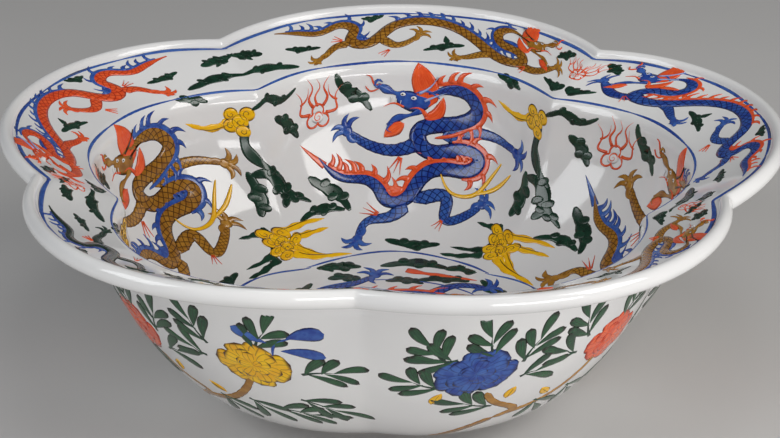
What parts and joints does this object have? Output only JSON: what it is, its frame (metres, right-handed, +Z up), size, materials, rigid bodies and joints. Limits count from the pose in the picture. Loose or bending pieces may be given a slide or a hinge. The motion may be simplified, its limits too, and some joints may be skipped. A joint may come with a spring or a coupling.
{
  "type": "punch bowl",
  "caption": "Large round porcelain bowl with a lobed everted rim, rolled lip, sloping ledge, deep cavity and low foot ring; glazed and decorated in coloured enamels.",
  "frame": {"origin": "on the bowl's axis, in the plane of the foot's flat seat, where it stands on a table", "axes": "+Z up along the bowl's axis; -Y towards one of the notches between the lobes (the front), so that a lobe faces +Y"},
  "size_m": [0.3924, 0.385, 0.1294],
  "materials": {
    "porcelain_body": "matt, unglazed",
    "clear_glaze": "glossy",
    "enamel_red": "glossy",
    "enamel_blue": "glossy",
    "enamel_green": "glossy",
    "enamel_yellow": "glossy",
    "enamel_brown": "glossy"
  },
  "bodies": {
    "root": {"rim_bead": "porcelain_body", "rim_flange": "porcelain_body", "bowl_wall": "porcelain_body", "floor_disc": "porcelain_body", "foot_ring": "porcelain_body", "inside_glaze": "clear_glaze", "outside_glaze": "clear_glaze", "base_glaze": "clear_glaze"}
  },
  "joints": []
}
